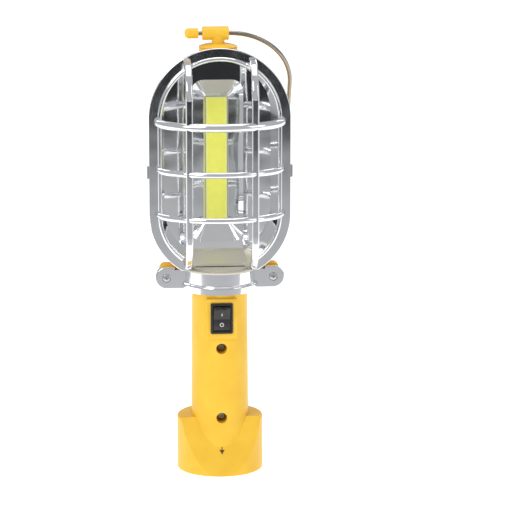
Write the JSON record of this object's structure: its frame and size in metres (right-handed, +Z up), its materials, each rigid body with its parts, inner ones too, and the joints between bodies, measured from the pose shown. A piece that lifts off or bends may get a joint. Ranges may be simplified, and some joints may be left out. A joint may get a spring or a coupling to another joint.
{
  "type": "work light",
  "caption": "Battery work light: caged strip lamp with a chrome reflector on a round yellow grip, rocker switch, magnetic foot, and a wire hook that folds and swivels on top.",
  "frame": {"origin": "centre of the foot's underside, on the surface that the light stands on", "axes": "+Z up along the grip to the hook; the lamp strip faces -Y; +X is on the right seen from the front"},
  "size_m": [0.1002, 0.1112, 0.3007],
  "materials": {
    "yellow_plastic": "satin moulded",
    "dark_yellow_plastic": "matte moulded",
    "chrome_plastic": "bright plated",
    "mirror_plastic": "mirror metallised",
    "black_plastic": "gloss",
    "brass": "bright",
    "screw_steel": "zinc plated",
    "cup_steel": "nickel plated",
    "magnet_ferrite": "dark sintered",
    "cell_jacket": "plain sleeve",
    "spring_steel": "nickel plated",
    "circuit_board": "solder mask",
    "resistor_ceramic": "matte",
    "red_insulation": "soft",
    "black_insulation": "soft",
    "board_aluminium": "satin",
    "phosphor": "matte",
    "hook_steel": "drawn wire"
  },
  "bodies": {
    "housing": {"handle_front_shell": "yellow_plastic", "handle_rear_shell": "yellow_plastic", "head_back_shell": "yellow_plastic", "base_cover": "dark_yellow_plastic", "guard_rim": "chrome_plastic", "guard_hoop_lower": "chrome_plastic", "guard_hoop_middle": "chrome_plastic", "guard_hoop_upper": "chrome_plastic", "guard_bar_left": "chrome_plastic", "guard_bar_right": "chrome_plastic", "guard_collar": "chrome_plastic", "guard_catches": "chrome_plastic", "neck_floor": "chrome_plastic", "reflector": "mirror_plastic", "switch_body": "black_plastic", "switch_terminals": "brass", "handle_screws": "screw_steel", "base_screws": "screw_steel", "clamp_screws": "screw_steel", "plate_screws": "screw_steel", "magnet_cup": "cup_steel", "base_magnet": "magnet_ferrite", "battery_left": "cell_jacket", "battery_centre": "cell_jacket", "battery_right": "cell_jacket", "battery_springs": "spring_steel", "battery_contacts": "spring_steel", "driver_board": "circuit_board", "limit_resistor": "resistor_ceramic", "lead_red": "red_insulation", "lead_black": "black_insulation", "cob_board": "board_aluminium", "heat_sink_plate": "board_aluminium", "cob_phosphor": "phosphor"},
    "swivel": {"hook_tee": "yellow_plastic", "swivel_washer": "screw_steel", "swivel_screw": "screw_steel"},
    "hook": {"hook_wire": "hook_steel", "hook_knob": "yellow_plastic"},
    "rocker": {"switch_rocker": "black_plastic"},
    "door": {"battery_door": "yellow_plastic"}
  },
  "joints": [
    {"name": "hook_swivel", "type": "hinge", "parent": "housing", "child": "swivel", "pos_m": [0, 0.0075, 0.287], "axis": [0, 0, 1], "continuous": true},
    {"name": "hook_fold", "type": "hinge", "parent": "swivel", "child": "hook", "pos_m": [0, 0.0075, 0.2962], "axis": [1, 0, 0], "range_deg": [0, 300]},
    {"name": "rocker_tip", "type": "hinge", "parent": "housing", "child": "rocker", "pos_m": [0, -0.0196, 0.1078], "axis": [1, 0, 0], "range_deg": [-22, 0]},
    {"name": "door_slide", "type": "slide", "parent": "housing", "child": "door", "axis": [0, 1, 0], "range_m": [0, 0.04]}
  ]
}
